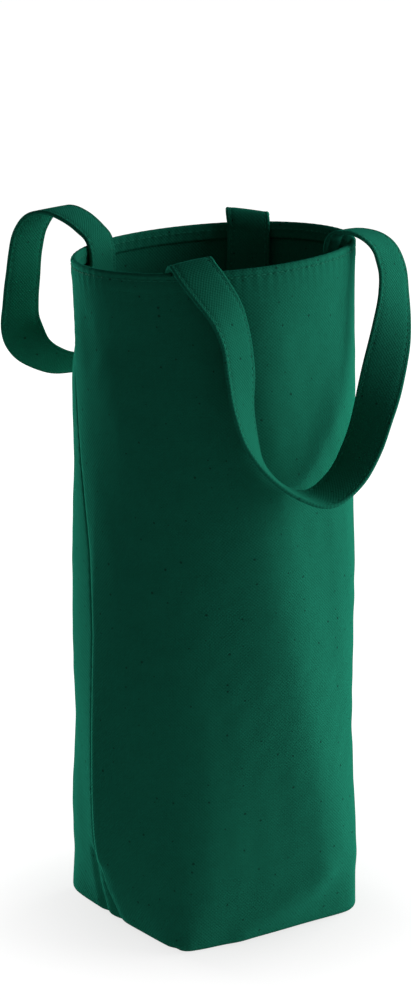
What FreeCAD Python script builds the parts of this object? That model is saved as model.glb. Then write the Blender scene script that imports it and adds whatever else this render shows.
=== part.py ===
import FreeCAD, Part
import math
import os

from FreeCAD import Vector

# A soft canvas carrier for one bottle: two panels sewn into a square-based bag with an oval mouth,
# and two flat strap handles that hang outside the rim and swing up to the hand.
# Millimetres, +Z up, origin at the centre of the base's underside, front panel towards -Y.

# Driving dimensions of the bag
base_side = 100.0              # side of the square base
bag_height = 320.0             # base underside to rim
canvas = 1.0                   # one layer of canvas
base_roll = 4.0                # radius of the soft bottom edge
seam_ridge = 14.0              # how far the side seams stand out of the belly
seam_allowance = 8.0           # cloth turned inside along each seam
hem_depth = 7.0                # height of the turned-in top edge
hem_layers = 3                 # layers of canvas in the hem

# Driving dimensions of the stitching
thread_width = 0.7
thread_height = 0.35
hem_stitch_drop = 4.0          # hem stitches below the rim
seam_stitch_inset = 4.0        # seam stitches from the fold of the seam
strap_stitch_inset = 2.2       # strap stitches from the strap's edges
end_stitch_inset = 3.0         # end stitches from the edges of a strap's sewn end

# Driving dimensions of the handles
strap_width = 20.5
strap_thickness = 2.0
handle_end_length = 25.0       # sewn end inside the bag
front_loop_drop = 105.0        # hinge line down to the bottom of the hanging loop
front_loop_reach = 41.0        # hinge line out to the middle of the hanging loop
front_loop_rise = 2.5          # arch of the strap over the rim
back_loop_drop = 71.0
back_loop_reach = 46.0
back_loop_rise = 14.0

# Clearances
sewn_gap = 0.05                # thread to cloth
cloth_gap = 0.3                # sewn strap end to hem
hinge_gap = 0.4                # moving strap above the rim
overrun = 5.0                  # cuts run past what they cut

# Where the strap ends are sewn, as shares of the girth from the left seam by way of the front
front_end_shares = (0.133, 0.394)
back_end_shares = (0.837, 0.619)

# The bag's section: share of the height, squareness, depth by width, share of the seam ridge
section_shares = (
    (0.000, 10.0, 1.000, 0.00),
    (0.035, 8.0, 1.000, 0.42),
    (0.070, 6.4, 1.000, 0.72),
    (0.130, 4.8, 0.990, 1.00),
    (0.200, 3.9, 0.980, 0.98),
    (0.300, 3.3, 0.965, 0.86),
    (0.420, 2.9, 0.950, 0.72),
    (0.550, 2.65, 0.935, 0.58),
    (0.700, 2.4, 0.915, 0.40),
    (0.850, 2.2, 0.895, 0.20),
    (1.000, 2.0, 0.868, 0.00),
)

# The hanging loops: shares of the span between the ends, of the reach, of the rise and of the drop
front_loop_shares = (
    (0.00, 0.00, 0.0, 0.00), (0.01, 0.18, 0.8, 0.00), (0.04, 0.36, 0.8, 0.00), (0.08, 0.49, 0.0, 0.05),
    (0.12, 0.58, 0.0, 0.21), (0.13, 0.66, 0.0, 0.41), (0.15, 0.74, 0.0, 0.60), (0.20, 0.84, 0.0, 0.77),
    (0.31, 0.94, 0.0, 0.92), (0.49, 1.00, 0.0, 1.00), (0.68, 0.95, 0.0, 0.92), (0.84, 0.85, 0.0, 0.76),
    (0.96, 0.74, 0.0, 0.56), (1.03, 0.64, 0.0, 0.37), (1.07, 0.56, 0.0, 0.20), (1.07, 0.48, 0.0, 0.05),
    (1.05, 0.36, 0.8, 0.00), (1.02, 0.18, 0.8, 0.00), (1.00, 0.00, 0.0, 0.00),
)
back_loop_shares = (
    (0.00, 0.00, 0.0, 0.00), (-0.01, 0.15, 0.20, 0.00), (-0.05, 0.31, 0.62, 0.00), (-0.10, 0.48, 0.95, 0.00),
    (-0.15, 0.65, 1.0, 0.00), (-0.19, 0.80, 0.55, 0.00), (-0.21, 0.88, 0.0, 0.06), (-0.21, 0.93, 0.0, 0.25),
    (-0.18, 0.96, 0.0, 0.45), (-0.09, 0.98, 0.0, 0.64), (0.09, 1.00, 0.0, 0.79), (0.34, 1.00, 0.0, 0.93),
    (0.62, 0.98, 0.0, 1.00), (0.88, 0.94, 0.0, 0.90), (1.07, 0.87, 0.0, 0.67), (1.16, 0.75, 0.0, 0.41),
    (1.17, 0.58, 0.0, 0.17), (1.13, 0.40, 0.15, 0.00), (1.07, 0.24, 0.28, 0.00), (1.02, 0.11, 0.14, 0.00),
    (1.00, 0.00, 0.0, 0.00),
)
loop_tilt_deg = 16.0           # slope of the strap across the bottom of a loop, rising outwards
twist_start_share = 0.08       # part of the strap at each end that stays flat
stitch_start_share = 0.12      # part of the strap at each end without edge stitches

# Counts
outline_steps = 40
dense_steps = 400
roll_steps = 3
strap_stations = 37
arc_steps = 8

# Sizes that follow from the driving ones
panel_width = 2 * base_side                  # a face and half of each side
girth = 2 * panel_width
hem_wall = hem_layers * canvas
hinge_height = bag_height + strap_thickness / 2 + hinge_gap
end_near = hem_wall + cloth_gap              # sewn end's face on the hem, from the bag's outside
end_far = end_near + strap_thickness


def form_at(height):
    """Squareness, depth by width and ridge of the section at a height."""
    share = min(max(height / bag_height, 0.0), 1.0)
    for low, high in zip(section_shares, section_shares[1:]):
        if share <= high[0]:
            part = (share - low[0]) / (high[0] - low[0])
            return [a + (b - a) * part for a, b in zip(low[1:], high[1:])]
    return list(section_shares[-1][1:])


def unit_half(height):
    """Half of the section, from the left seam by way of the front to the right seam, of unit half width."""
    squareness, depth, ridge = form_at(height)
    power = 2 / squareness
    pull = ridge * seam_ridge / (base_side / 2)
    points = []
    for step in range(dense_steps + 1):
        angle = math.pi * step / dense_steps
        along = -math.cos(angle)
        across = math.sin(angle) if step < dense_steps else 0.0
        near_seam = 1 - abs(across) ** power
        x = math.copysign(abs(along) ** power + pull * near_seam, along)
        points.append((x, -depth * abs(across) ** power))
    return points


def half_outline(height, inset, steps=outline_steps):
    """Evenly spaced points of the section's front half, as long as a panel is wide, drawn in by inset."""
    points = unit_half(height)
    lengths = [math.dist(a, b) for a, b in zip(points, points[1:])]
    scale = panel_width / sum(lengths)
    wanted = [sum(lengths) * step / steps for step in range(steps + 1)]
    even, walked, index = [], 0.0, 0
    for goal in wanted:
        while index < len(lengths) - 1 and walked + lengths[index] < goal:
            walked += lengths[index]
            index += 1
        part = min((goal - walked) / lengths[index], 1.0)
        a, b = points[index], points[index + 1]
        even.append([scale * (a[0] + (b[0] - a[0]) * part), scale * (a[1] + (b[1] - a[1]) * part)])
    drawn = []
    for i, (x, y) in enumerate(even):
        before, after = even[max(i - 1, 0)], even[min(i + 1, steps)]
        run, fall = after[0] - before[0], after[1] - before[1]
        if i in (0, steps):
            run, fall = 0.0, math.copysign(1.0, x)
        size = math.hypot(run, fall)
        drawn.append(Vector(x - inset * fall / size, y + inset * run / size, height))
    return drawn


def mirrored(points):
    return [Vector(p.x, -p.y, p.z) for p in points]


def spline(points):
    curve = Part.BSplineCurve()
    curve.interpolate(points)
    return curve.toShape()


def ring(height, inset, level=None):
    """Closed wire of the section at a height, drawn at another level if one is given."""
    front = half_outline(height, inset)
    if level is not None:
        front = [Vector(p.x, p.y, level) for p in front]
    return Part.Wire([spline(front), spline(list(reversed(mirrored(front))))])


def ruled(wires):
    """Solid with straight lines between wires, right side out."""
    solid = Part.makeLoft(wires, True, True)
    return solid if solid.Volume > 0 else solid.reversed()


def box(low, high):
    size = high - low
    return Part.makeBox(size.x, size.y, size.z, low)


def block(corners_low, corners_high):
    """Ruled solid between two four-sided wires."""
    wires = [Part.makePolygon(list(corners) + [corners[0]]) for corners in (corners_low, corners_high)]
    return ruled(wires)


def roll_levels(radius, floor):
    """Height and drawn-in distance of the steps of the soft bottom edge."""
    for step in range(roll_steps):
        angle = math.pi / 2 * step / roll_steps
        yield floor + radius * (1 - math.cos(angle)), radius * (1 - math.sin(angle))


# Bag body
wall_levels = [base_roll] + [row[0] * bag_height for row in section_shares[1:-1]] + [bag_height - hem_depth]


def outer_body():
    wires = [ring(base_roll, inset, level) for level, inset in roll_levels(base_roll, 0.0)]
    wires += [ring(height, 0.0) for height in wall_levels + [bag_height]]
    return ruled(wires)


def inner_space():
    soft = roll_levels(base_roll - canvas, canvas)
    wires = [ring(base_roll, canvas + inset, level) for level, inset in soft]
    wires += [ring(height, canvas) for height in wall_levels]
    return ruled(wires)


def hem_space():
    """Space inside the turned-in top edge, open upwards."""
    low = ring(bag_height - hem_depth, hem_wall)
    high = ring(bag_height, hem_wall)
    top = ring(bag_height, hem_wall, bag_height + overrun)
    return ruled([low, high, top])


def seam_x(height):
    return half_outline(height, 0.0)[-1].x


def side_allowance(side):
    """Cloth turned inside along one side seam, on the front panel's half."""
    pieces = []
    for low, high in zip(wall_levels, wall_levels[1:]):
        corners = []
        for height in (low, high):
            fold = side * (seam_x(height) - canvas / 2)
            edge = side * (seam_x(height) - canvas - seam_allowance)
            plan = ((fold, 0.0), (edge, 0.0), (edge, -canvas), (fold, -canvas))
            corners.append([Vector(x, y, height) for x, y in plan])
        pieces.append(block(*corners))
    return pieces[0].multiFuse(pieces[1:])


def base_allowance():
    """Cloth turned inside along the base seam, on the front panel's half."""
    reach = base_side / 2 - base_roll
    return box(Vector(-reach, -canvas, canvas / 2), Vector(reach, 0.0, canvas + seam_allowance))


def panels():
    shell = outer_body().cut(inner_space()).cut(hem_space())
    reach = panel_width
    front_half = box(Vector(-reach, -reach, -overrun), Vector(reach, 0.0, bag_height + overrun))
    front = shell.common(front_half)
    front = front.multiFuse([side_allowance(-1), side_allowance(1), base_allowance()]).removeSplitter()
    back = front.mirror(Vector(0, 0, 0), Vector(0, 1, 0))
    return front, back


# Seam threads
thread_face = -canvas - sewn_gap             # side of the front allowance that faces the inside


def side_seam(side):
    pieces = []
    first, last = wall_levels[1], wall_levels[-1]
    levels = [height for height in wall_levels if first <= height <= last]
    for low, high in zip(levels, levels[1:]):
        corners = []
        for height in (low, high):
            near = side * (seam_x(height) - canvas - seam_stitch_inset)
            far = near - side * thread_width
            tip = thread_face - thread_height
            plan = ((near, thread_face), (far, thread_face), (far, tip), (near, tip))
            corners.append([Vector(x, y, height) for x, y in plan])
        pieces.append(block(*corners))
    return pieces[0].multiFuse(pieces[1:])


def base_seam():
    reach = base_side / 2 - base_roll - seam_allowance - canvas
    low = canvas + seam_stitch_inset
    high = low + thread_width
    return box(Vector(-reach, thread_face - thread_height, low), Vector(reach, thread_face, high))


def corner_seam(side):
    """Thread of the short seam that boxes one bottom corner, along the base's edge, in two halves."""
    reach = base_side / 2 - base_roll - canvas
    near, far = reach, reach - thread_width
    low = canvas + sewn_gap
    start = canvas + sewn_gap + thread_height + seam_allowance
    halves = []
    for half in (-1, 1):
        xs, ys = sorted((side * far, side * near)), sorted((half * start, half * reach))
        halves.append(box(Vector(xs[0], ys[0], low), Vector(xs[1], ys[1], low + thread_height)))
    return Part.makeCompound(halves)


def hem_stitching():
    level = bag_height - hem_stitch_drop
    rise = Vector(0, 0, thread_width)
    inside = Part.Face(ring(level, -sewn_gap)).extrude(rise)
    outside = Part.Face(ring(level, -sewn_gap - thread_height)).extrude(rise)
    return outside.cut(inside)


# Handles
def rim_point(share, inset):
    """Point of the rim at a share of the girth from the left seam, by way of the front, drawn in by inset."""
    half = half_outline(bag_height, inset, dense_steps)
    place = (share % 1.0) * 2
    points = half if place <= 1 else list(reversed(mirrored(half)))
    spot = (place if place <= 1 else place - 1) * dense_steps
    index = min(int(spot), dense_steps - 1)
    return points[index] + (points[index + 1] - points[index]) * (spot - index)


def sewn_patch(share, half_width, near, far, low, high):
    """Curved plate that follows the inside of the rim round a place on it."""
    reach = half_width / girth
    shares = [share - reach + 2 * reach * step / arc_steps for step in range(arc_steps + 1)]
    outer = [rim_point(s, near) for s in shares]
    inner = [rim_point(s, far) for s in reversed(shares)]
    sides = [Part.makeLine(outer[-1], inner[0]), Part.makeLine(inner[-1], outer[0])]
    edges = [spline(outer), sides[0], spline(inner), sides[1]]
    plate = Part.Face(Part.Wire(edges)).extrude(Vector(0, 0, high - low))
    plate.translate(Vector(0, 0, low - bag_height))
    return plate


def handle_end(share):
    return sewn_patch(share, strap_width / 2, end_near, end_far, bag_height - handle_end_length, bag_height)


def handle_end_stitching(share):
    """Two rows of stitches across a sewn strap end."""
    near = end_far + sewn_gap
    reach = strap_width / 2 - end_stitch_inset
    upper = bag_height - hem_stitch_drop
    lower = bag_height - handle_end_length + end_stitch_inset
    far = near + thread_height
    rows = [sewn_patch(share, reach, near, far, low, low + thread_width) for low in (upper, lower)]
    return Part.makeCompound(rows)


def hinge_line(end_shares):
    """The two points that a strap swings about, in the middle of its sewn ends and just above the rim."""
    middle = (end_near + end_far) / 2
    ends = [rim_point(share, middle) for share in end_shares]
    return [Vector(p.x, p.y, hinge_height) for p in ends]


def strap_frames(end_shares, loop_shares, reach, rise, drop):
    """Centre, width direction and face direction at each station of a hanging strap."""
    left, right = hinge_line(end_shares)
    along = right - left
    span = along.Length
    along.normalize()
    out = along.cross(Vector(0, 0, 1))
    if out.dot(left + right) < 0:
        out = -out
    places = [
        left + along * (a * span) + out * (o * reach) + Vector(0, 0, r * rise - d * drop)
        for a, o, r, d in loop_shares
    ]
    curve = Part.BSplineCurve()
    curve.interpolate(places)
    centres = curve.discretize(Number=strap_stations)
    last = strap_stations - 1
    frames = []
    for i, centre in enumerate(centres):
        share = (i / last - twist_start_share) / (1 - 2 * twist_start_share)
        turn = math.pi * min(max(share, 0.0), 1.0)
        heading = centres[min(i + 1, last)] - centres[max(i - 1, 0)]
        if i in (0, last):
            heading = out if i == 0 else -out
        heading = Vector(heading).normalize()
        lean = Vector(0, 0, math.tan(math.radians(loop_tilt_deg)))
        width = along * math.cos(turn) - (out + lean) * math.sin(turn)
        width = (width - heading * width.dot(heading)).normalize()
        frames.append((centre, width, heading.cross(width).normalize()))
    return frames


def ribbon(frames, low, high, near, far):
    """Solid that follows a strap between two places across its width and two across its thickness."""
    plan = ((low, near), (high, near), (high, far), (low, far))
    rings = [[centre + width * w + face * f for w, f in plan] for centre, width, face in frames]
    faces = [Part.Face(Part.makePolygon(end + [end[0]])) for end in (rings[0], rings[-1])]
    for here, there in zip(rings, rings[1:]):
        for i in range(len(plan)):
            j = (i + 1) % len(plan)
            edges = [Part.makeLine(side[i], side[j]) for side in (here, there)]
            faces.append(Part.makeRuledSurface(*edges))
    shell = Part.makeShell(faces)
    shell.sewShape()
    solid = Part.makeSolid(shell)
    return solid if solid.Volume > 0 else solid.reversed()


def strap(frames):
    """Hanging strap with a round end on the hinge line at each sewn end."""
    half, thick = strap_width / 2, strap_thickness / 2
    body = ribbon(frames, -half, half, -thick, thick)
    ends = []
    for centre, width, face in (frames[0], frames[-1]):
        ends.append(Part.makeCylinder(thick, strap_width, centre - width * half, width))
    return body.multiFuse(ends)


def strap_stitching(frames):
    """A row of stitches along each edge, on both faces of the strap."""
    skip = round(stitch_start_share * strap_stations)
    sewn = frames[skip:-skip]
    middle = strap_width / 2 - strap_stitch_inset
    near = strap_thickness / 2 + sewn_gap
    rows = []
    for side in (-1, 1):
        for face in (-1, 1):
            low, high = side * middle - thread_width / 2, side * middle + thread_width / 2
            close, far = sorted((face * near, face * (near + thread_height)))
            rows.append(ribbon(sewn, low, high, close, far))
    return Part.makeCompound(rows)


# Assembly
parts = {}
parts["front_panel"], parts["back_panel"] = panels()
for name, side in (("left", -1), ("right", 1)):
    parts[name + "_side_seam"] = side_seam(side)
    parts[name + "_corner_seam"] = corner_seam(side)
parts["base_seam"] = base_seam()
parts["hem_stitching"] = hem_stitching()
handles = (
    ("front", front_end_shares, front_loop_shares, front_loop_reach, front_loop_rise, front_loop_drop),
    ("back", back_end_shares, back_loop_shares, back_loop_reach, back_loop_rise, back_loop_drop),
)
for name, end_shares, loop_shares, reach, rise, drop in handles:
    frames = strap_frames(end_shares, loop_shares, reach, rise, drop)
    length = sum((b[0] - a[0]).Length for a, b in zip(frames, frames[1:]))
    print(name, "strap hangs free over", round(length, 1), "mm; hinge line", hinge_line(end_shares))
    parts[name + "_handle"] = strap(frames)
    parts[name + "_handle_stitching"] = strap_stitching(frames)
    for side, share in zip(("left", "right"), end_shares):
        parts[f"{name}_{side}_handle_end"] = handle_end(share)
        parts[f"{name}_{side}_end_stitching"] = handle_end_stitching(share)

os.makedirs("parts", exist_ok=True)
for name, shape in parts.items():
    print(name, "solids", len(shape.Solids), "volume", round(shape.Volume, 1), "valid", shape.isValid())
    shape.exportStep(f"parts/{name}.step")
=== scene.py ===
# A canvas bottle bag: two soft panels with a hemmed rim, two flat straps and their stitching, in metres
import math

import bmesh
import bpy
import numpy as np
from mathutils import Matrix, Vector


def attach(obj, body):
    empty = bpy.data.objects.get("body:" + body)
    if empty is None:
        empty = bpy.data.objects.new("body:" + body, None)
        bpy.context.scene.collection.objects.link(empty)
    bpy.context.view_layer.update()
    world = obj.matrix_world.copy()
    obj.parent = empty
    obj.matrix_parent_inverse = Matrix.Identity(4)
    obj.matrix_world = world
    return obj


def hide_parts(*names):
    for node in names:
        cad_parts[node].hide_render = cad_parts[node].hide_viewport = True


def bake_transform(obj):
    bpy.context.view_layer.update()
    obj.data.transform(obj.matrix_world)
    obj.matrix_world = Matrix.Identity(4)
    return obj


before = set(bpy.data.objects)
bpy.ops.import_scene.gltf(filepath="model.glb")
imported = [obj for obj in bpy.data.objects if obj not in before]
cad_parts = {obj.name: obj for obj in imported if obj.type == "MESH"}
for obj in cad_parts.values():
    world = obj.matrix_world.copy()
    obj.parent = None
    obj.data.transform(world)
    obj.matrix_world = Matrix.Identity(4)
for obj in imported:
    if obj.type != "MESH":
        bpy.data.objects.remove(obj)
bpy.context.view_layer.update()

# Sizes of the bag
millimetre = 0.001
base_side = 0.100
bag_height = 0.320
panel_width = 0.200
base_half = base_side / 2
canvas = 0.0010
base_roll = 0.0040
seam_ridge = 0.0140
seam_gap = 0.00002
seam_allowance = 0.0080
hem_depth = 0.0075
hem_radius = 0.00135
hem_stitch_drop = 0.0033
hem_zone = 0.0115

# The bag's plan, one row for each height. Columns: share of the height, squareness, depth by width, share of
# the seam ridge, share of the front swell, place of the swell's crest as a share of the panel's width, and
# the swell's left flank by its right flank
section_table = np.array((
    (0.000, 10.0, 1.000, 0.00, 0.00, 0.450, 2.0),
    (0.035, 8.0, 1.000, 0.42, 0.75, 0.520, 2.0),
    (0.070, 6.4, 1.000, 0.72, 1.10, 0.590, 2.0),
    (0.130, 4.8, 0.990, 1.00, 1.25, 0.595, 2.0),
    (0.200, 3.9, 0.980, 0.96, 1.20, 0.572, 1.9),
    (0.300, 3.3, 0.965, 0.80, 1.12, 0.540, 1.6),
    (0.420, 2.9, 0.950, 0.58, 1.05, 0.505, 1.2),
    (0.550, 2.65, 0.935, 0.32, 1.00, 0.475, 1.1),
    (0.700, 2.4, 0.915, 0.06, 0.90, 0.455, 1.2),
    (0.850, 2.2, 0.895, 0.00, 0.80, 0.440, 1.2),
    (1.000, 2.0, 0.868, 0.00, 0.00, 0.430, 1.0)))
front_swell = 0.0075
swell_width = 0.022
section_blur_share = 0.03
section_blur_steps = 7
section_blur_shares = np.linspace(-section_blur_share, section_blur_share, section_blur_steps)

# The seams slip backwards round the bag towards the rim: heights and slips
slip_heights = (0.0, 0.145, 0.185, 0.225, 0.270, 0.320)
seam_slips = (0.0, 0.000, -0.005, -0.015, -0.022, -0.025)

# How finely the panels are cut
columns = 161
side_columns = 40
base_rows = 40
outline_steps = 600
wall_step = 0.0016
hem_step = 0.0005
round_steps = 6
join_distance = 0.000001

# The rim leans: it is higher at the right and at the front, and the lean fades down the wall
lean_across = 0.034
lean_back = -0.033
lean_lift = 0.0011
lean_start_share = 0.35

# Cloth: how the panels depart from their plain sections
wave_seeds = {"front_panel": 11, "back_panel": 23}
broad_wave_size = 0.00014
broad_wave_lengths = (0.060, 0.150)
fine_wave_size = 0.00003
fine_wave_lengths = (0.012, 0.028)
waves_each = 14
calm_width = 0.030
lip_depth = 0.0004
lip_width = 0.0026
pucker_size = 0.00022
pucker_length = 0.0062
pucker_width = 0.0070
pucker_base_share = 0.6
pucker_change_share = 0.4
pucker_drift = 2.3
hem_bulge = 0.00015
hem_groove = 0.00025
hem_groove_width = 0.0011
hem_pucker_size = 0.00014
hem_pucker_length = 0.0047

# Folds: start and end as distance from the left end of the section and height, then depth and width
front_folds = (
    ((0.000, 0.288), (0.014, 0.288), -0.0024, 0.016),
    ((0.080, 0.006), (0.124, 0.027), 0.0019, 0.0070),
    ((0.000, 0.028), (0.000, 0.000), -0.0013, 0.0045),
    ((0.048, 0.003), (0.052, 0.003), 0.0009, 0.003),
    ((0.044, 0.001), (0.046, 0.001), -0.0010, 0.002),
)
back_folds = (
    ((0.000, 0.288), (0.045, 0.288), -0.0024, 0.016),
    ((0.000, 0.028), (0.000, 0.000), -0.0013, 0.0045),
    ((0.004, 0.036), (0.0125, 0.000), -0.0014, 0.0030),
)

# Straps
strap_half_width = 0.01025
strap_half_thickness = 0.0010
strap_step = 0.0008
strap_stitch_place = 0.0081
strap_groove = 0.00028
strap_groove_width = 0.0008
strap_crown = 0.00022
strap_cup_radius = 0.062
strap_edge_turn = 60
dimple_base_share = 0.75
dimple_change_share = 0.25
edge_steps = 3
strap_places = np.array((
    -0.0092, -0.0089, -0.0085, -0.0081, -0.0077, -0.0073, -0.0062, -0.0042, -0.0021, 0.0,
    0.0021, 0.0042, 0.0062, 0.0073, 0.0077, 0.0081, 0.0085, 0.0089, 0.0092))
strap_cup_end = 0.026
strap_cup_fade = 0.010
strap_ripple = 0.00022
strap_ripple_length = 0.0060
strap_wander_length = 0.017
path_steps = 3000
width_blur_steps = 3
end_stitch_inset = 0.0030
end_stitch_far = 0.0210
end_row_steps = 12

# Turned-in seam edges
strip_step = 0.0050
strip_splay = 0.0005
strip_wave = 0.011
base_strip_steps = 20
base_strip_share = 0.88
seam_stitch_inset = 0.0040

# The CAD pieces that each strap stands for
front_nodes = (
    "front_handle", "front_left_handle_end", "front_right_handle_end",
    "front_handle_stitching", "front_left_end_stitching", "front_right_end_stitching")
back_nodes = (
    "back_handle", "back_left_handle_end", "back_right_handle_end",
    "back_handle_stitching", "back_left_end_stitching", "back_right_end_stitching")

# Stitches
stitch_pitch = 0.0031
stitch_length = 0.0025
stitch_half_width = 0.00030
stitch_half_height = 0.00024
stitch_dip = 0.00018
stitch_sides = 6
stitch_place_shares = np.array((-1, -0.72, -0.3, 0.3, 0.72, 1))
stitch_girth_shares = np.array((0.25, 0.8, 1, 1, 0.8, 0.25))
stitch_middle_share = 0.5

# Sewn ends of the straps at the rim, seen from above
front_left_end = Vector((-0.04134, -0.04171))
front_right_end = Vector((0.04895, -0.03511))
back_left_end = Vector((-0.03172, 0.04752))
back_right_end = Vector((0.04543, 0.03844))

# Routes of the straps: millimetres along, out and up from the left sewn end, then degrees of turn and tilt
# of the width
front_route = (
    (0, 0, -25, -40, 0), (0, 0, -14, -40, 0), (0, 0, -6, -36, 5),
    (0, 0, 0.4, -30, 8), (-0.3, 0.7, 3.2, -24, 9), (-0.8, 2.5, 4.4, -18, 9),
    (-1.2, 4.7, 3.8, -15, 9), (-1.4, 7.2, 2.0, -13, 10), (1.4, 14.5, -6.3, -5, 13),
    (5.6, 20.5, -16.8, 7, 15), (8.2, 23.6, -28.0, 14, 13), (8.9, 26.2, -42.4, 17, 8),
    (8.8, 28.3, -57.9, 25, 3), (11.3, 30.9, -73.3, 38, 0), (17.0, 34.2, -87.4, 56, 0),
    (27.7, 37.5, -98.4, 73, 2), (43.0, 40.0, -104.7, 88, 8), (59.8, 38.5, -99, 97, 12),
    (73.0, 35.0, -87.2, 104, 10), (82.6, 31.5, -72.9, 119, 5), (91.4, 27.5, -56.6, 146, 3),
    (99.2, 23.5, -39.6, 169, 0), (103.9, 19.5, -23.6, 187, 0), (105.2, 16.0, -10.6, 194, 2),
    (103.2, 12.0, -2.1, 198, 5), (98.7, 7.0, 2.7, 201, 6), (93.5, 1.0, 4.4, 202, 5),
    (88.5, -3.8, 2.6, 205, 2), (86.8, -4.8, -2.6, 211, 0), (87.7, -3.0, -8.6, 219, 0),
    (90.0, -0.4, -16.6, 224, 0), (90.5, 0, -25, 224, 0))
back_route = (
    (0, 0, -25, -31, 0), (0, 0, -12, -31, 0), (0, 0, -2, -31, 0),
    (-0.4, 1.2, 1.5, -31, 0), (-2.5, 6.5, 5.9, -31, 0), (-6.5, 14, 10.6, -28, 0),
    (-11.5, 22, 12.9, -23, 0), (-16.5, 30, 10.1, -18, 0), (-19.7, 36, 2.1, -16, 0),
    (-20.7, 40, -8.9, -14, 0), (-21.3, 42, -20.9, -13, 0), (-22, 43.5, -33.9, -10, 2),
    (-21.5, 45, -45.9, 5, 10), (-16, 46, -57.4, 38, 28), (-4, 46.5, -65.4, 70, 38),
    (14, 46.5, -69.2, 86, 30), (32, 46, -71.4, 96, 14), (50, 45, -70.1, 106, 0),
    (68, 43, -62.8, 118, -6), (81, 40, -47.7, 136, -8), (88.5, 34, -28.7, 152, -6),
    (90, 26.5, -12.7, 168, 0), (87, 18, -2, 186, 6), (82, 10, 3.2, 200, 8),
    (78.5, 3, 3.6, 209, 4), (77.8, 0.3, 0.2, 214, 0), (77.7, 0, -5, 214, 0),
    (77.7, 0, -12, 214, 0), (77.7, 0, -25, 214, 0))

# Where along each strap, from its left end, the cloth lies askew in a fold
front_fold = (0.016, 0.046)
back_fold = (0.0, 0.0)
fold_fade = 0.010

# Colours
canvas_colour = (0.0118, 0.170, 0.104, 1.0)
canvas_dark = (0.0075, 0.112, 0.068, 1.0)
speck_colour = (0.006, 0.030, 0.022, 1.0)
thread_colour = (0.018, 0.205, 0.130, 1.0)
sheen_colour = (0.06, 0.85, 0.65, 1.0)
white = (1, 1, 1, 1)

# Surfaces
cloth_roughness = 0.92
sheen_weight = 0.05
sheen_roughness = 0.55
thread_roughness = 0.85
thread_specular = 0.05
thread_tone_share = 0.5

# Sockets of a colour mix node
mix_colour_inputs = (6, 7)
mix_colour_output = 2

# Weave
yarns_per_metre = 1250
slub_long_scale = 70
slub_cross_scale = 1500
blotch_scale = 26
slub_share = 0.14
weave_share = 0.10
mottle_scale = 320
mottle_share = 0.16
blotch_share = 0.20
dark_share = 0.20
speck_scale = 125
speck_rarity = 2.5
speck_reach = 0.080
speck_strength = 0.70
slub_bump_share = 0.5
bump_strength = 0.4
bump_height = 0.00016
thread_twist_scale = 3000
slub_detail = 1
blotch_detail = 3
mottle_detail = 2
twist_detail = 1

# Camera
camera_place = Vector((-0.8815, -1.3254, 0.6354))
camera_forward = Vector((0.5323, 0.8045, -0.2638))
camera_lens = 126.6
camera_sensor = 36.0

# Light
light_target = Vector((0.0, 0.0, 0.17))
key_turn, key_rise, key_distance = 79, 14, 1.5
key_power, key_size = 42, (2.2, 1.2)
rim_turn, rim_rise, rim_distance = -172, 2, 1.5
rim_power, rim_size = 28, (0.5, 0.5)
world_level = 0.080
floor_half = 8.0
floor_colour = (0.80, 0.80, 0.80, 1.0)
floor_seen_colour = (0.20, 0.20, 0.20, 1.0)
# The seen floor glows less near the bag than far off: painted shade round the bag's base
floor_painted_shade_glow, floor_glow_far = 0.69, 1.0
floor_painted_shade_reach = 0.17
# Near the bag the floor gives off light that only the bag sees, lighting its lower parts
floor_bounce, floor_bounce_reach = 0.12, 0.35


# Shapes

def smooth(value):
    """Smooth step from 0 to 1."""
    held = np.clip(value, 0, 1)
    return held * held * (3 - 2 * held)


def unit(vectors):
    """Vectors of length 1 along the same directions."""
    return vectors / np.linalg.norm(vectors, axis=-1, keepdims=True)


def section(height):
    """The section table's columns after the first, read at a height and evened out."""
    shares = np.clip(height / bag_height + section_blur_shares, 0, 1)
    return [np.interp(shares, section_table[:, 0], column).mean() for column in section_table[:, 1:].T]


def outline(height, side):
    """Plan of one panel at a height, in even steps from its left seam to its right seam, and the places of
    its points round the bag from the left end of the section. Side is 1 for the front, -1 for the back."""
    squareness, depth, ridge = section(height)[:3]
    angle = np.linspace(0, math.pi, outline_steps)
    along = -np.cos(angle)
    bulge = np.abs(np.sin(angle)) ** (2 / squareness)
    bulge[[0, -1]] = 0
    pull = ridge * seam_ridge / base_half
    across = np.sign(along) * (np.abs(along) ** (2 / squareness) + pull * (1 - bulge))
    half = np.stack([across, -depth * bulge], 1)
    whole = np.concatenate([half, half[-2::-1] * (1, -1)])
    walked = np.concatenate([[0], np.cumsum(np.linalg.norm(np.diff(whole, axis=0), axis=1))])
    scale = 2 * panel_width / walked[-1]
    slip = np.interp(height, slip_heights, seam_slips)
    around = slip + side * np.linspace(seam_gap, panel_width - seam_gap, columns)
    plan = [np.interp(around, scale * walked, scale * axis, period=2 * panel_width) for axis in whole.T]
    return np.stack(plan, 1), side * around


def waves(seed):
    """Seeded cloth waves: size, turns across and up, and phase of each."""
    chance = np.random.default_rng(seed)
    found = []
    for size, lengths in ((broad_wave_size, broad_wave_lengths), (fine_wave_size, fine_wave_lengths)):
        for _ in range(waves_each):
            turns = 2 * math.pi / chance.uniform(*lengths)
            lie = chance.uniform(0, math.pi)
            found.append((size, turns * math.cos(lie), turns * math.sin(lie), chance.uniform(0, 2 * math.pi)))
    return found


across_cloth = np.linspace(0, panel_width, columns)
from_seam = np.minimum(across_cloth, panel_width - across_cloth)


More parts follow.
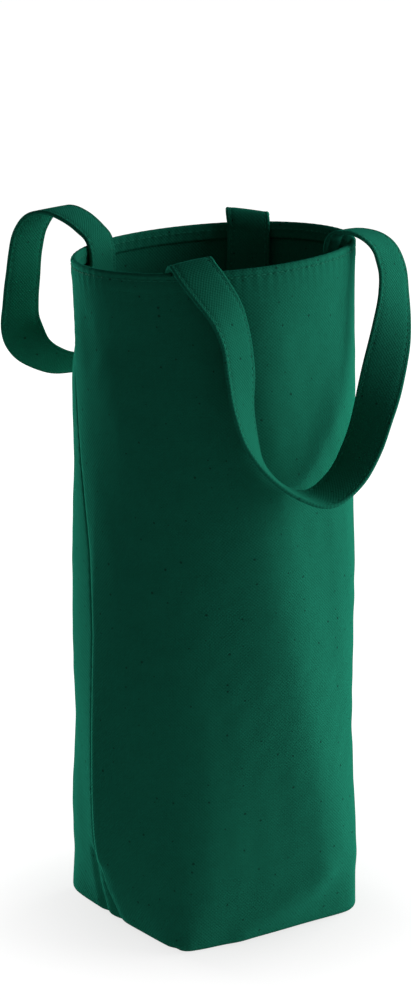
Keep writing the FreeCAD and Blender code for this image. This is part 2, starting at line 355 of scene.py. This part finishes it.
def relief(height, around, folds, cloth_waves, side):
    """How far one row of a panel stands out from its plain section."""
    push = np.zeros(columns)
    for size, across, up, phase in cloth_waves:
        push += size * np.sin(across * across_cloth + up * height + phase)
    calm = smooth(from_seam / calm_width) * smooth((bag_height - height) / calm_width)
    push *= calm * smooth(height / calm_width)
    if side > 0:
        swell, crest, flank = section(height)[3:]
        beside = around - crest * panel_width
        beside = np.where(beside < 0, beside / flank, beside)
        push += front_swell * swell * np.exp(-(beside / swell_width) ** 2)
    for start, end, depth, width in folds:
        run = np.subtract(end, start)
        offset = np.stack([around - start[0], np.full(columns, height - start[1])], 1)
        along = np.clip(offset @ run / (run @ run), 0, 1)
        away = np.linalg.norm(offset - along[:, None] * run, axis=1)
        push += depth * np.exp(-(away / width) ** 2)
    push -= lip_depth * np.clip(1 - from_seam / lip_width, 0, 1) ** 2
    drift = pucker_drift * height / pucker_length / math.pi
    change = pucker_base_share + pucker_change_share * math.sin(drift)
    pucker = math.sin(2 * math.pi * height / pucker_length) * change * pucker_size
    push += pucker * np.exp(-(from_seam / pucker_width) ** 2) * smooth(from_seam / lip_width)
    drop = bag_height - height
    push += hem_bulge * smooth((hem_depth - drop) / canvas + 1) * smooth(drop / hem_radius)
    push -= hem_groove * math.exp(-((drop - hem_stitch_drop) / hem_groove_width) ** 2)
    hem_pucker = np.sin(2 * math.pi * across_cloth / hem_pucker_length + np.sin(across_cloth / pucker_width))
    push += hem_pucker_size * hem_pucker * math.exp(-((drop - hem_stitch_drop) / hem_depth) ** 2)
    return push


def lean(plan, height):
    """How far the leaning rim lifts points of a row."""
    fade = smooth((height / bag_height - lean_start_share) / (1 - lean_start_share))
    return fade * (lean_across * plan[:, 0] + lean_back * plan[:, 1] + lean_lift)


def panel_row(height, inset, folds, cloth_waves, side):
    """Points of one row of a panel, drawn in from its outer face by an inset, and the ways outward."""
    plan, around = outline(height, side)
    slope = np.gradient(plan, axis=0)
    outward = side * unit(np.stack([slope[:, 1], -slope[:, 0]], 1))
    plan = plan + outward * (relief(height, around, folds, cloth_waves, side) - inset)[:, None]
    points = np.column_stack([plan, height + lean(plan, height)])
    return points, np.column_stack([outward, np.zeros(columns)])


def panel_rows(heights, insets, folds, cloth_waves, side):
    """Points of several rows of a panel, and their outward directions."""
    rows = [panel_row(height, inset, folds, cloth_waves, side) for height, inset in zip(heights, insets)]
    return np.array([points for points, _ in rows]), np.array([outward for _, outward in rows])


# Meshes

def quads(index):
    """Faces of a grid of point numbers."""
    corners = np.stack([index[:-1, :-1], index[:-1, 1:], index[1:, 1:], index[1:, :-1]], -1)
    return corners.reshape(-1, 4).tolist()


def make_piece(name, points, faces, cloth, material):
    """A mesh with its cloth laid out in metres, its doubled points joined and its faces turned outward."""
    mesh = bpy.data.meshes.new(name)
    mesh.from_pydata(np.asarray(points).tolist(), [], faces)
    layer = mesh.uv_layers.new(name="cloth")
    corners = np.empty(len(mesh.loops), dtype=np.int32)
    mesh.loops.foreach_get("vertex_index", corners)
    layer.data.foreach_set("uv", np.asarray(cloth, dtype=np.float32)[corners].ravel())
    work = bmesh.new()
    work.from_mesh(mesh)
    bmesh.ops.remove_doubles(work, verts=work.verts, dist=join_distance)
    bmesh.ops.recalc_face_normals(work, faces=work.faces)
    work.to_mesh(mesh)
    work.free()
    mesh.shade_smooth()
    mesh.materials.append(material)
    piece = bpy.data.objects.new(name, mesh)
    bpy.context.collection.objects.link(piece)
    return piece


def tube(rings, cloth, first):
    """Points, cloth and faces of a closed skin over rings of points, numbered from a first point."""
    count, around = rings.shape[:2]
    index = first + np.arange(count * around).reshape(count, around)
    faces = quads(np.column_stack([index, index[:, 0]]))
    faces += [index[0].tolist(), index[-1][::-1].tolist()]
    return rings.reshape(-1, 3), cloth.reshape(-1, 2), faces


# Panels

def wall_levels():
    """Heights and insets of a panel's outer rows and inner rows, from the base to the rim."""
    turn = np.linspace(0, math.pi / 2, round_steps)
    inner_roll = base_roll - canvas
    wall_steps = round((bag_height - hem_zone - base_roll) / wall_step)
    wall = np.linspace(base_roll, bag_height - hem_zone, wall_steps)[1:]
    hem_steps = round((hem_zone - hem_radius) / hem_step)
    hem = np.linspace(bag_height - hem_zone, bag_height - hem_radius, hem_steps)[1:]
    high = bag_height - hem_radius + hem_radius * np.sin(turn[1:])
    outer_heights = np.concatenate([base_roll * (1 - np.cos(turn)), wall, hem, high])
    outer_insets = np.concatenate([
        base_roll * (1 - np.sin(turn)), 0 * wall, 0 * hem, hem_radius * (1 - np.cos(turn[1:]))])
    inner_heights = np.concatenate([canvas + inner_roll * (1 - np.cos(turn)), wall, hem, high])
    turned_in = canvas + (2 * hem_radius - canvas) * smooth((hem - (bag_height - hem_depth)) / canvas + 1)
    inner_insets = np.concatenate([
        canvas + inner_roll * (1 - np.sin(turn)), 0 * wall + canvas, turned_in,
        hem_radius * (1 + np.cos(turn[1:]))])
    return outer_heights, outer_insets, inner_heights, inner_insets


def base_grid(ring):
    """Half of the base between the lowest ring of a panel's wall and the base seam."""
    front = ring[side_columns:columns - side_columns]
    left = ring[side_columns::-1]
    right = ring[columns - 1 - side_columns:]
    across = np.linspace(0, 1, len(front))[None, :, None]
    back = np.linspace(0, 1, base_rows + 1)[:, None, None]
    seam = left[-1] + (right[-1] - left[-1]) * across[0]
    grid = (1 - back) * front + back * seam + (1 - across) * left[:, None] + across * right[:, None]
    corners = (1 - back) * ((1 - across) * front[0] + across * front[-1])
    corners = corners + back * ((1 - across) * left[-1] + across * right[-1])
    return grid - corners


def at_seam(rows, outward, column, neighbour):
    """Inward directions at one edge of a panel's rows, and directions along the cloth away from that edge."""
    inward = -outward[:, column]
    aside = rows[:, neighbour] - rows[:, column]
    return inward, unit(aside - inward * np.sum(aside * inward, axis=1, keepdims=True))


def seam_strips(side, folds, cloth_waves):
    """Rings of the turned-in edges of a panel: at the side seams, the base seam and the corner seams."""
    heights = np.arange(base_roll + canvas, bag_height - hem_depth, strip_step)
    splay = strip_splay * (1 + np.sin(heights / strip_wave))[:, None]
    rows, outward = panel_rows(heights, 0 * heights + canvas, folds, cloth_waves, side)
    found = []
    for column, neighbour in ((0, 1), (-1, -2)):
        inward, aside = at_seam(rows, outward, column, neighbour)
        edge = rows[:, column] + aside * seam_gap
        free = edge + inward * seam_allowance + aside * splay
        found.append(np.stack([edge, free, free + aside * canvas, edge + aside * canvas], 1))
    run = np.linspace(-base_half, base_half, base_strip_steps) * base_strip_share
    corners = ((-seam_gap, canvas), (-seam_gap - strip_splay, canvas + seam_allowance),
               (-seam_gap - strip_splay - canvas, canvas + seam_allowance), (-seam_gap - canvas, canvas))
    found.append(np.stack([np.stack([run, 0 * run + side * y, 0 * run + z], 1) for y, z in corners], 1))
    depth = np.linspace(-base_half * base_strip_share, -2 * canvas, base_strip_steps) * side
    for end in (-1, 1):
        edge = end * base_half * base_strip_share
        corners = ((edge, canvas), (edge, canvas + seam_allowance),
                   (edge - end * 2 * canvas, canvas + seam_allowance), (edge - end * 2 * canvas, canvas))
        found.append(np.stack([np.stack([0 * depth + x, depth, 0 * depth + z], 1) for x, z in corners], 1))
    return found


def make_panel(name, side, folds):
    """One canvas panel: its wall, turned-in hem, half of the base and seam edges."""
    cloth_waves = waves(wave_seeds[name])
    outer_heights, outer_insets, inner_heights, inner_insets = wall_levels()
    outer, _ = panel_rows(outer_heights, outer_insets, folds, cloth_waves, side)
    inner, _ = panel_rows(inner_heights[:-1], inner_insets[:-1], folds, cloth_waves, side)
    levels = len(outer)
    outer_index = np.arange(outer[..., 0].size).reshape(levels, columns)
    inner_index = outer_index.size + np.arange(inner[..., 0].size).reshape(levels - 1, columns)
    faces = quads(np.concatenate([outer_index, inner_index[::-1]]))
    for column in (0, columns - 1):
        faces += quads(np.stack([outer_index[:-1, column], inner_index[:, column]]))
        faces.append([outer_index[-2, column], outer_index[-1, column], inner_index[-1, column]])
    points = [outer.reshape(-1, 3), inner.reshape(-1, 3)]
    spread = np.broadcast_to(across_cloth, (levels, columns))
    rise = np.broadcast_to(outer_heights[:, None], (levels, columns))
    layout = np.stack([spread, rise], -1)
    cloth = [layout.reshape(-1, 2), layout[:-1].reshape(-1, 2)]
    bases = []
    for ring in (outer[0], inner[0]):
        grid = base_grid(ring)
        first = sum(len(part) for part in points)
        bases.append(first + np.arange(grid[..., 0].size).reshape(grid.shape[:2]))
        points.append(grid.reshape(-1, 3))
        cloth.append(grid[..., :2].reshape(-1, 2))
        faces += quads(bases[-1])
    faces += quads(np.stack([bases[0][-1], bases[1][-1]]))
    for rings in seam_strips(side, folds, cloth_waves):
        first = sum(len(part) for part in points)
        strip_points, strip_cloth, strip_faces = tube(rings, rings[..., [0, 2]], first)
        points.append(strip_points)
        cloth.append(strip_cloth)
        faces += strip_faces
    piece = make_piece(name + "_cloth", np.concatenate(points), faces, np.concatenate(cloth), canvas_material)
    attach(piece, "bag")
    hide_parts(name)
    return piece, cloth_waves


# Straps

def curve_through(places, values, wanted):
    """A smooth curve through values at places, read at the wanted places."""
    gaps = np.diff(places)
    rises = np.diff(values, axis=0) / gaps[:, None]
    slopes = np.empty_like(values)
    weighted = rises[:-1] * gaps[1:, None] + rises[1:] * gaps[:-1, None]
    slopes[1:-1] = weighted / (gaps[:-1] + gaps[1:])[:, None]
    slopes[0], slopes[-1] = rises[0], rises[-1]
    piece = np.clip(np.searchsorted(places, wanted, side="right") - 1, 0, len(gaps) - 1)
    gap = gaps[piece][:, None]
    part = (wanted - places[piece])[:, None] / gap
    start = (1 + 2 * part) * (1 - part) ** 2 * values[piece] + part * (1 - part) ** 2 * gap * slopes[piece]
    end = part ** 2 * (3 - 2 * part) * values[piece + 1] + part ** 2 * (part - 1) * gap * slopes[piece + 1]
    return start + end


def blurred(values, steps):
    """Rows of values evened out along their run."""
    padded = np.concatenate([np.repeat(values[:1], steps, 0), values, np.repeat(values[-1:], steps, 0)])
    return np.mean([padded[shift:shift + len(values)] for shift in range(2 * steps + 1)], axis=0)


def strap_path(left, right, side, route, fold):
    """Distances, centre points, width directions and face directions along a strap."""
    rows = np.array(route, dtype=float)
    chord = np.concatenate([[0], np.cumsum(np.linalg.norm(np.diff(rows[:, :3], axis=0), axis=1))])
    rows = curve_through(chord, rows, np.linspace(0, chord[-1], path_steps))
    run = right - left
    along = np.array((*run.normalized(), 0))
    out = side * np.array((along[1], -along[0], 0))
    up = np.array((0, 0, 1))
    place = rows[:, :3] * millimetre
    ends = np.array((left, right))
    lifts = lean(ends, bag_height)
    share = np.clip(place[:, :1] / run.length, 0, 1)
    centre = np.array((*left, bag_height)) + place[:, :1] * along + place[:, 1:2] * out
    centre = centre + (place[:, 2:] + (1 - share) * lifts[0] + share * lifts[1]) * up
    turn, tilt = np.radians(rows[:, 3:4]), np.radians(rows[:, 4:])
    width = np.cos(tilt) * (np.cos(turn) * along - np.sin(turn) * out) + np.sin(tilt) * up
    walked = np.concatenate([[0], np.cumsum(np.linalg.norm(np.diff(centre, axis=0), axis=1))])
    even = np.linspace(0, walked[-1], round(walked[-1] / strap_step))
    centre = np.stack([np.interp(even, walked, axis) for axis in centre.T], 1)
    width = np.stack([np.interp(even, walked, axis) for axis in width.T], 1)
    heading = unit(np.gradient(centre, axis=0))
    askew = smooth((even - fold[0]) / fold_fade) * smooth((fold[1] - even) / fold_fade)
    slant = heading * np.sum(width * heading, axis=1, keepdims=True)
    narrowed = np.linalg.norm(width - slant, axis=1, keepdims=True)
    width = blurred((width - (1 - askew[:, None]) * slant) / narrowed, width_blur_steps)
    face = unit(np.cross(heading, width))
    if face[0, :2] @ centre[0, :2] > 0:
        face = -face
    return even, centre, width, face


def strap_profile():
    """Places across a strap's section, heights of its skin and shares of the stitch groove, all round."""
    edge = np.radians(np.linspace(strap_edge_turn, -strap_edge_turn, 2 * edge_steps - 1))
    shape = np.abs(strap_places / strap_half_width)
    height = strap_half_thickness + strap_crown * (1 - shape ** 2)
    groove = np.exp(-((np.abs(strap_places) - strap_stitch_place) / strap_groove_width) ** 2)
    edge_places = strap_half_width - strap_half_thickness * (1 - np.cos(edge))
    edge_heights = strap_half_thickness * np.sin(edge)
    places = np.concatenate([strap_places, edge_places, strap_places[::-1], -edge_places[::-1]])
    heights = np.concatenate([height, edge_heights, -height, edge_heights[::-1]])
    grooves = np.concatenate([groove, 0 * edge, -groove, 0 * edge])
    return places, heights, grooves


def make_strap(name, left, right, side, route, fold, replaced):
    """One strap: a flat folded ribbon from sewn end to sewn end, over the rim and round its loop."""
    distance, centre, width, face = strap_path(left, right, side, route, fold)
    places, heights, grooves = strap_profile()
    from_end = np.minimum(distance, distance[-1] - distance)
    cup = 1 / strap_cup_radius * smooth((strap_cup_end - from_end) / strap_cup_fade)
    dimple = dimple_base_share + dimple_change_share * np.cos(2 * math.pi * distance / stitch_pitch)
    ripple = strap_ripple * np.sin(distance / strap_ripple_length + np.sin(distance / strap_wander_length))
    skin = heights[None, :] - strap_groove * grooves[None, :] * dimple[:, None]
    skin = skin + cup[:, None] * places[None, :] ** 2 / 2
    skin = skin + ripple[:, None] * (places[None, :] / strap_half_width)
    rings = centre[:, None] + width[:, None] * places[None, :, None] + face[:, None] * skin[..., None]
    cloth = np.stack(np.broadcast_arrays(places[None, :], distance[:, None]), -1)
    points, cloth, faces = tube(rings, cloth, 0)
    piece = make_piece(name, points, faces, cloth, strap_material)
    lines = []
    for edge in (-1, 1):
        for top in (-1, 1):
            place = edge * strap_stitch_place
            height = top * (strap_half_thickness - strap_groove / 2) + cup * place ** 2 / 2 + edge * ripple
            lines.append((centre + width * place + face * height[:, None], top * face))
    for first in (end_stitch_inset, end_stitch_far):
        for wanted in (first, distance[-1] - first):
            row = np.argmin(np.abs(distance - wanted))
            across = np.linspace(-strap_stitch_place, strap_stitch_place, end_row_steps)[:, None]
            for top in (-1, 1):
                height = top * strap_half_thickness + cup[row] * across ** 2 / 2
                line = centre[row] + width[row] * across + face[row] * height
                lines.append((line, top * face[row] + 0 * across))
    threads = make_stitches(name + "_stitching", lines)
    for thing in (piece, threads):
        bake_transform(thing)
    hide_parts(*(node for node in replaced if not node.endswith("stitching")))
    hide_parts(*(node for node in replaced if node.endswith("stitching")))


# Stitches

def make_stitches(name, lines):
    """Rows of short thread stitches along lines of points with the directions they stand up in."""
    angle = np.linspace(0, 2 * math.pi, stitch_sides, endpoint=False)
    girth = stitch_girth_shares[:, None]
    sink = -stitch_dip * stitch_place_shares ** 2
    sideways = stitch_half_width * girth * np.cos(angle)
    upward = sink[:, None] + stitch_half_height * girth * np.sin(angle)
    points, cloth, faces = [], [], []
    for line, normals in lines:
        walked = np.concatenate([[0], np.cumsum(np.linalg.norm(np.diff(line, axis=0), axis=1))])
        count = int(walked[-1] // stitch_pitch)
        middles = (np.arange(count) + stitch_middle_share) * walked[-1] / max(count, 1)
        heading = unit(np.gradient(line, axis=0))
        for middle in middles:
            reach = middle + stitch_place_shares * stitch_length / 2
            spine = np.stack([np.interp(reach, walked, axis) for axis in line.T], 1)
            ahead = np.stack([np.interp(reach, walked, axis) for axis in heading.T], 1)
            up = unit(np.stack([np.interp(reach, walked, axis) for axis in normals.T], 1))
            aside = unit(np.cross(ahead, up))
            ring = spine[:, None] + aside[:, None] * sideways[..., None] + up[:, None] * upward[..., None]
            layout = np.stack(np.broadcast_arrays(reach[:, None], angle[None, :] * stitch_half_width), -1)
            part_points, part_cloth, part_faces = tube(ring, layout, len(points) * sideways.size)
            points.append(part_points)
            cloth.append(part_cloth)
            faces += part_faces
    piece = make_piece(name, np.concatenate(points), faces, np.concatenate(cloth), thread_material)
    return piece


def ride_stitches(name, lines):
    """Stitches that stay with the bag, in place of the thread of the same name."""
    piece = make_stitches(name + "_thread", lines)
    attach(piece, "bag")
    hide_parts(name)


# Materials

def add(tree, kind, **settings):
    """A shader node with its settings."""
    node = tree.nodes.new(kind)
    for name, value in settings.items():
        setattr(node, name, value)
    return node


def calculate(tree, operation, *values):
    """A maths node of sockets or numbers."""
    node = add(tree, "ShaderNodeMath", operation=operation)
    for place, value in enumerate(values):
        if isinstance(value, bpy.types.NodeSocket):
            tree.links.new(value, node.inputs[place])
        else:
            node.inputs[place].default_value = value
    return node.outputs[0]


def stretched(tree, vector, across, along):
    """A vector scaled apart along its two directions."""
    node = add(tree, "ShaderNodeMapping")
    node.inputs["Scale"].default_value = (across, along, 1)
    tree.links.new(vector, node.inputs["Vector"])
    return node.outputs[0]


def noise(tree, vector, detail):
    """Noise from -1 to 1 at a vector."""
    node = add(tree, "ShaderNodeTexNoise")
    node.inputs["Scale"].default_value = 1
    node.inputs["Detail"].default_value = detail
    tree.links.new(vector, node.inputs["Vector"])
    return calculate(tree, "MULTIPLY_ADD", node.outputs["Fac"], 2, -1)


def blended(tree, share, first, second):
    """A mix of two colours or colour sockets."""
    node = add(tree, "ShaderNodeMix", data_type="RGBA")
    tree.links.new(share, node.inputs[0])
    for place, value in zip(mix_colour_inputs, (first, second)):
        if isinstance(value, bpy.types.NodeSocket):
            tree.links.new(value, node.inputs[place])
        else:
            node.inputs[place].default_value = value
    return node.outputs[mix_colour_output]


def cloth_material(name, colour, dark_colour):
    """Woven cotton: yarns, slubs, seed specks and soft unevenness, all laid out in metres of cloth."""
    material = bpy.data.materials.new(name)
    material.use_nodes = True
    tree = material.node_tree
    shader = tree.nodes["Principled BSDF"]
    cloth = add(tree, "ShaderNodeUVMap", uv_map="cloth").outputs[0]
    yarns = add(tree, "ShaderNodeSeparateXYZ")
    yarn_turn = math.pi * yarns_per_metre
    tree.links.new(stretched(tree, cloth, yarn_turn, yarn_turn), yarns.inputs[0])
    weave = calculate(tree, "MULTIPLY", calculate(tree, "SINE", yarns.outputs[0]),
                      calculate(tree, "SINE", yarns.outputs[1]))
    warp = noise(tree, stretched(tree, cloth, slub_cross_scale, slub_long_scale), slub_detail)
    weft = noise(tree, stretched(tree, cloth, slub_long_scale, slub_cross_scale), slub_detail)
    slubs = calculate(tree, "ADD", warp, weft)
    blotches = noise(tree, stretched(tree, cloth, blotch_scale, blotch_scale), blotch_detail)
    tone = calculate(tree, "MULTIPLY_ADD", slubs, slub_share, 1 - dark_share)
    tone = calculate(tree, "MULTIPLY_ADD", weave, weave_share, tone)
    tone = calculate(tree, "MULTIPLY_ADD", blotches, blotch_share, tone)
    mottle = noise(tree, stretched(tree, cloth, mottle_scale, mottle_scale), mottle_detail)
    tone = calculate(tree, "MULTIPLY_ADD", mottle, mottle_share, tone)
    result = blended(tree, tone, dark_colour, colour)
    cells = add(tree, "ShaderNodeTexVoronoi", voronoi_dimensions="2D")
    cells.inputs["Scale"].default_value = speck_scale
    tree.links.new(cloth, cells.inputs["Vector"])
    chance = add(tree, "ShaderNodeSeparateColor")
    tree.links.new(cells.outputs["Color"], chance.inputs[0])
    reach = calculate(tree, "POWER", chance.outputs[0], speck_rarity)
    reach = calculate(tree, "MULTIPLY", reach, speck_reach)
    specks = calculate(tree, "LESS_THAN", cells.outputs["Distance"], reach)
    specks = calculate(tree, "MULTIPLY", specks, speck_strength)
    result = blended(tree, specks, result, speck_colour)
    tree.links.new(result, shader.inputs["Base Color"])
    height = calculate(tree, "MULTIPLY_ADD", slubs, slub_bump_share, weave)
    bump = add(tree, "ShaderNodeBump")
    bump.inputs["Strength"].default_value = bump_strength
    bump.inputs["Distance"].default_value = bump_height
    tree.links.new(height, bump.inputs["Height"])
    tree.links.new(bump.outputs[0], shader.inputs["Normal"])
    shader.inputs["Roughness"].default_value = cloth_roughness
    shader.inputs["Specular IOR Level"].default_value = 0
    shader.inputs["Sheen Weight"].default_value = sheen_weight
    shader.inputs["Sheen Roughness"].default_value = sheen_roughness
    shader.inputs["Sheen Tint"].default_value = sheen_colour
    return material


def twisted_material(name, colour, dark_colour):
    """Sewing thread with the shading of its twist."""
    material = bpy.data.materials.new(name)
    material.use_nodes = True
    tree = material.node_tree
    shader = tree.nodes["Principled BSDF"]
    cloth = add(tree, "ShaderNodeUVMap", uv_map="cloth").outputs[0]
    strands = noise(tree, stretched(tree, cloth, thread_twist_scale, thread_twist_scale), twist_detail)
    share = calculate(tree, "MULTIPLY_ADD", strands, thread_tone_share, thread_tone_share)
    tree.links.new(blended(tree, share, dark_colour, colour), shader.inputs["Base Color"])
    shader.inputs["Roughness"].default_value = thread_roughness
    shader.inputs["Specular IOR Level"].default_value = thread_specular
    return material


# Floor, light and camera

def lamp(name, turn, rise, distance, power, size):
    """A soft rectangular lamp that faces the bag."""
    light = bpy.data.lights.new(name, "AREA")
    light.shape = "RECTANGLE"
    light.size, light.size_y = size
    light.energy = power
    turn, rise = math.radians(turn), math.radians(rise)
    away = Vector((math.sin(turn) * math.cos(rise), -math.cos(turn) * math.cos(rise), math.sin(rise)))
    thing = bpy.data.objects.new(name, light)
    thing.location = light_target + away * distance
    thing.rotation_euler = (-away).to_track_quat("-Z", "Y").to_euler()
    bpy.context.collection.objects.link(thing)


def seen_directly(tree):
    """A socket that is 1 where a surface is seen or mirrored, and 0 where it only gives light."""
    path = add(tree, "ShaderNodeLightPath")
    seen = calculate(tree, "MAXIMUM", path.outputs["Is Camera Ray"], path.outputs["Is Glossy Ray"])
    return calculate(tree, "MAXIMUM", seen, path.outputs["Is Transmission Ray"])


def ramp(tree, distance, reach, near, far):
    """A value that runs smoothly from near to far over a reach of a distance socket."""
    node = add(tree, "ShaderNodeMapRange", interpolation_type="SMOOTHSTEP")
    tree.links.new(distance, node.inputs["Value"])
    node.inputs["From Max"].default_value = reach
    node.inputs["To Min"].default_value = near
    node.inputs["To Max"].default_value = far
    return node.outputs[0]


def make_floor():
    """A pale floor that runs out of sight and keeps the bag's shadow, with painted shade round the bag's base
    where its seen glow is dimmer, and an unseen glow near the bag that lights its lower parts.
    """
    corners = [(x * floor_half, y * floor_half, 0) for x, y in ((-1, -1), (1, -1), (1, 1), (-1, 1))]
    mesh = bpy.data.meshes.new("floor")
    mesh.from_pydata(corners, [], [(0, 1, 2, 3)])
    floor = bpy.data.objects.new("floor", mesh)
    bpy.context.collection.objects.link(floor)
    material = bpy.data.materials.new("floor")
    material.use_nodes = True
    tree = material.node_tree
    shader = tree.nodes["Principled BSDF"]
    shader.inputs["Roughness"].default_value = 1
    shader.inputs["Specular IOR Level"].default_value = 0
    shader.inputs["Emission Color"].default_value = white
    seen = seen_directly(tree)
    tree.links.new(blended(tree, seen, floor_colour, floor_seen_colour), shader.inputs["Base Color"])
    place = add(tree, "ShaderNodeTexCoord").outputs["Object"]
    away = add(tree, "ShaderNodeVectorMath", operation="LENGTH")
    tree.links.new(place, away.inputs[0])
    distance = away.outputs["Value"]
    bounce = ramp(tree, distance, floor_bounce_reach, floor_bounce, 0)
    unseen = calculate(tree, "MULTIPLY", calculate(tree, "SUBTRACT", 1, seen), bounce)
    # Painted shade: the floor's seen glow is dimmer near the bag
    seen_glow_with_painted_shade = ramp(tree, distance, floor_painted_shade_reach, floor_painted_shade_glow, floor_glow_far)
    glow = calculate(tree, "MULTIPLY_ADD", seen, seen_glow_with_painted_shade, unseen)
    tree.links.new(glow, shader.inputs["Emission Strength"])
    mesh.materials.append(material)


def make_world():
    """Even light from all round, white where it is seen."""
    world = bpy.data.worlds.new("world")
    world.use_nodes = True
    tree = world.node_tree
    background = tree.nodes["Background"]
    background.inputs["Color"].default_value = white
    strength = calculate(tree, "MULTIPLY_ADD", seen_directly(tree), 1 - world_level, world_level)
    tree.links.new(strength, background.inputs["Strength"])
    bpy.context.scene.world = world


def make_camera():
    """The camera at the photograph's viewing angle."""
    camera = bpy.data.objects.new("camera", bpy.data.cameras.new("camera"))
    bpy.context.collection.objects.link(camera)
    camera.location = camera_place
    camera.rotation_euler = camera_forward.to_track_quat("-Z", "Y").to_euler()
    camera.data.lens = camera_lens
    camera.data.sensor_width = camera_sensor
    bpy.context.scene.camera = camera


# The bag

canvas_material = cloth_material("canvas", canvas_colour, canvas_dark)
strap_material = cloth_material("strap_canvas", canvas_colour, canvas_dark)
thread_material = twisted_material("thread", thread_colour, canvas_colour)

sides = {"front_panel": (1, front_folds), "back_panel": (-1, back_folds)}
hem_lines = []
seam_names = ("left_side_seam", "right_side_seam", "left_corner_seam", "right_corner_seam", "base_seam")
seam_lines = {seam: [] for seam in seam_names}
for panel_name, (side, folds) in sides.items():
    panel, cloth_waves = make_panel(panel_name, side, folds)
    stitch_height = bag_height - hem_stitch_drop
    outside, outward = panel_row(stitch_height, -stitch_half_height / 2, folds, cloth_waves, side)
    inside, _ = panel_row(stitch_height, 2 * hem_radius, folds, cloth_waves, side)
    hem_lines += [(outside, outward), (inside, -outward)]
    heights = np.arange(2 * base_roll, bag_height - hem_depth, strip_step)
    rows, outward = panel_rows(heights, 0 * heights + canvas, folds, cloth_waves, side)
    for seam, column, neighbour in (("left_side_seam", 0, 1), ("right_side_seam", -1, -2)):
        inward, aside = at_seam(rows, outward, column, neighbour)
        line = rows[:, column] + inward * seam_stitch_inset + aside * (seam_gap + canvas + strip_splay)
        seam_lines[seam].append((line, aside))
    back = np.array((0, -side * (seam_gap + canvas + strip_splay), 0))
    run = np.linspace(-base_half, base_half, base_strip_steps)[:, None] * base_strip_share
    low = np.array((0, 0, canvas + seam_stitch_inset))
    line = run * np.array((1, 0, 0)) + back + low
    seam_lines["base_seam"].append((line, np.array((0, -side, 0)) + 0 * run))
    depth = side * np.linspace(-base_half * base_strip_share, -2 * canvas, base_strip_steps)[:, None]
    for seam, end in (("left_corner_seam", -1), ("right_corner_seam", 1)):
        place = np.array((end * (base_half * base_strip_share - 2 * canvas), 0, canvas + seam_stitch_inset))
        seam_lines[seam].append((depth * np.array((0, 1, 0)) + place, np.array((-end, 0, 0)) + 0 * depth))

ride_stitches("hem_stitching", hem_lines)
for seam, lines in seam_lines.items():
    ride_stitches(seam, lines)

make_strap("front_strap", front_left_end, front_right_end, 1, front_route,
           front_fold, front_nodes)
make_strap("back_strap", back_left_end, back_right_end, -1, back_route,
           back_fold, back_nodes)

make_floor()
make_world()
lamp("key", key_turn, key_rise, key_distance, key_power, key_size)
lamp("rim", rim_turn, rim_rise, rim_distance, rim_power, rim_size)
make_camera()

bpy.context.scene.view_settings.view_transform = "Standard"
